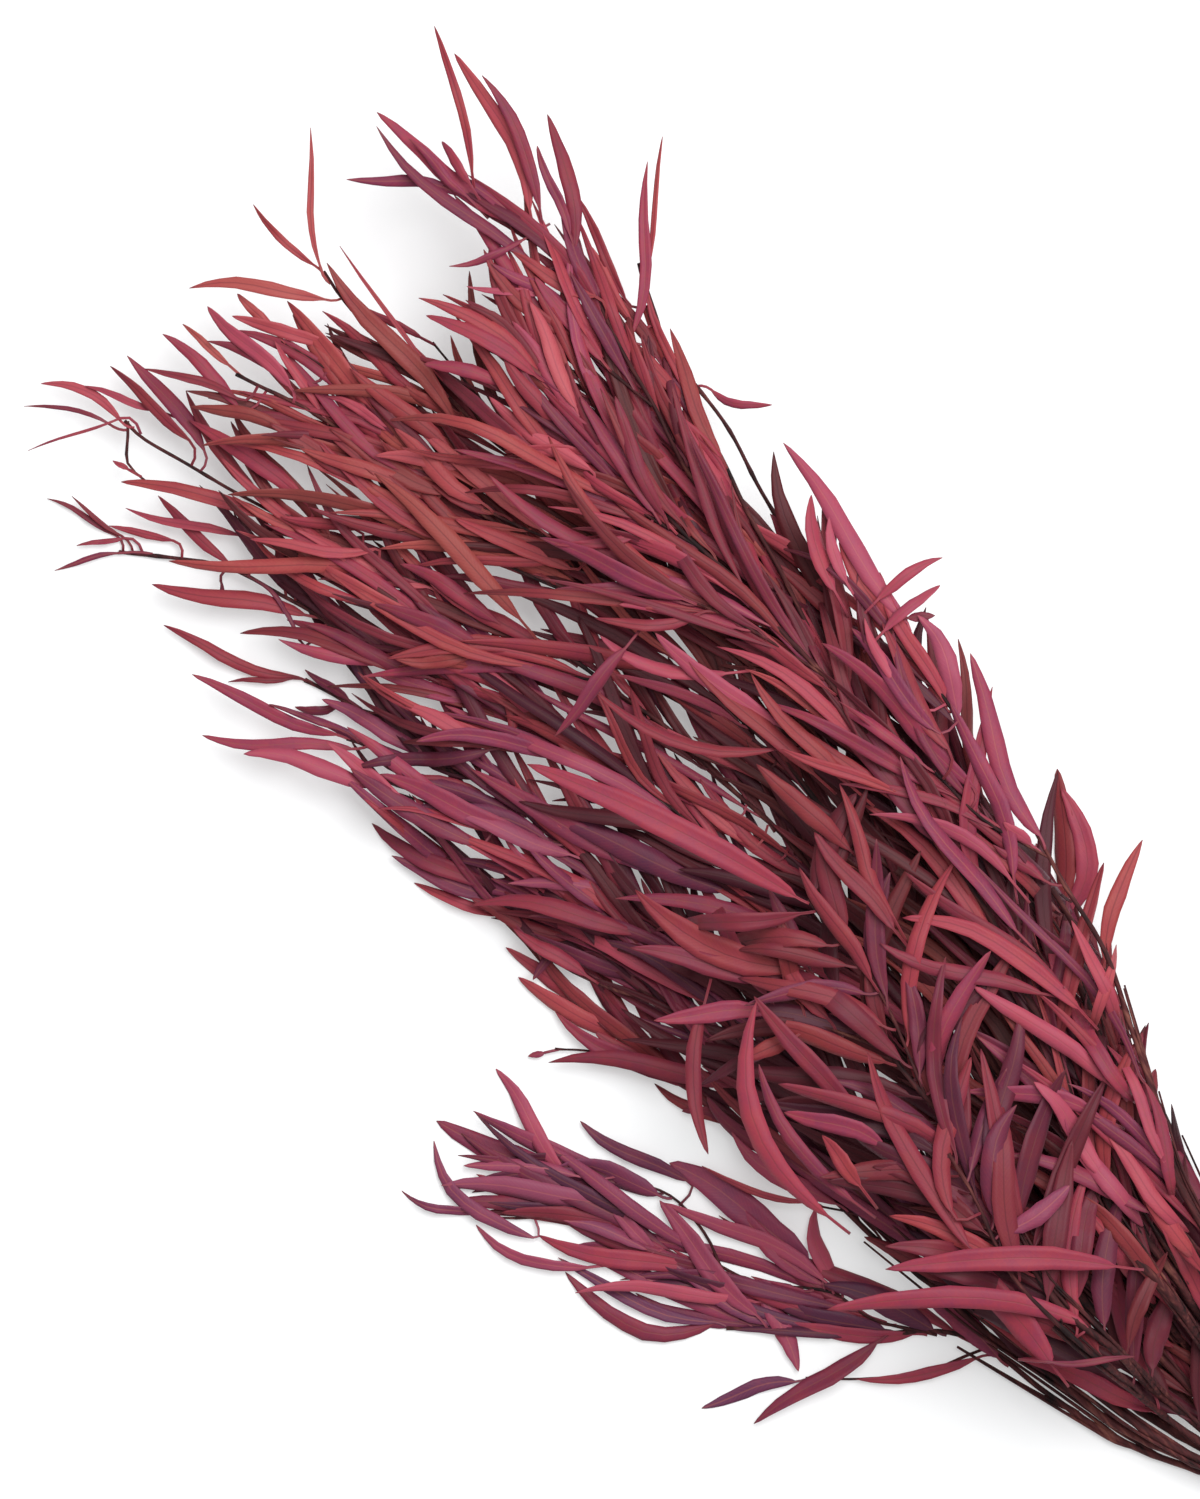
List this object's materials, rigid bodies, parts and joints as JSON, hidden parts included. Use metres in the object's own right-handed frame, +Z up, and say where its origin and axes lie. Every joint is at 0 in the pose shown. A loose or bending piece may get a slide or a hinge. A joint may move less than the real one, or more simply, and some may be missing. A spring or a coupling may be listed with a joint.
{
  "type": "dried eucalyptus bunch",
  "caption": "Tied bunch of dried branches with long narrow dark red leaves, lying flat and fanning out from a twine tie near its cut stem ends.",
  "frame": {"origin": "under the middle of the bunch's outer box, on the surface that the bunch lies on", "axes": "+X along the bunch from the cut stem ends to the leaf tips, +Z up from the surface, +Y to the left of +X"},
  "size_m": [0.756, 0.3336, 0.0775],
  "materials": {
    "dyed_leaf": "satin, dry dyed plant material",
    "twine": "matt twisted fibre"
  },
  "bodies": {
    "root": {"leafy_stem_low_spray": "dyed_leaf", "leafy_stem_lower_edge": "dyed_leaf", "leafy_stem_lower_left": "dyed_leaf", "leafy_stem_left_low": "dyed_leaf", "leafy_stem_right_edge": "dyed_leaf", "leafy_stem_left": "dyed_leaf", "leafy_stem_left_high": "dyed_leaf", "leafy_stem_upper_left_low": "dyed_leaf", "leafy_stem_upper_left": "dyed_leaf", "leafy_stem_right_thin": "dyed_leaf", "leafy_stem_top_right": "dyed_leaf", "leafy_stem_top_left": "dyed_leaf", "leafy_stem_upper_middle": "dyed_leaf", "leafy_stem_right": "dyed_leaf", "leafy_stem_foreground_middle": "dyed_leaf", "leafy_stem_foreground_low": "dyed_leaf", "twine_tie": "twine"}
  },
  "joints": []
}
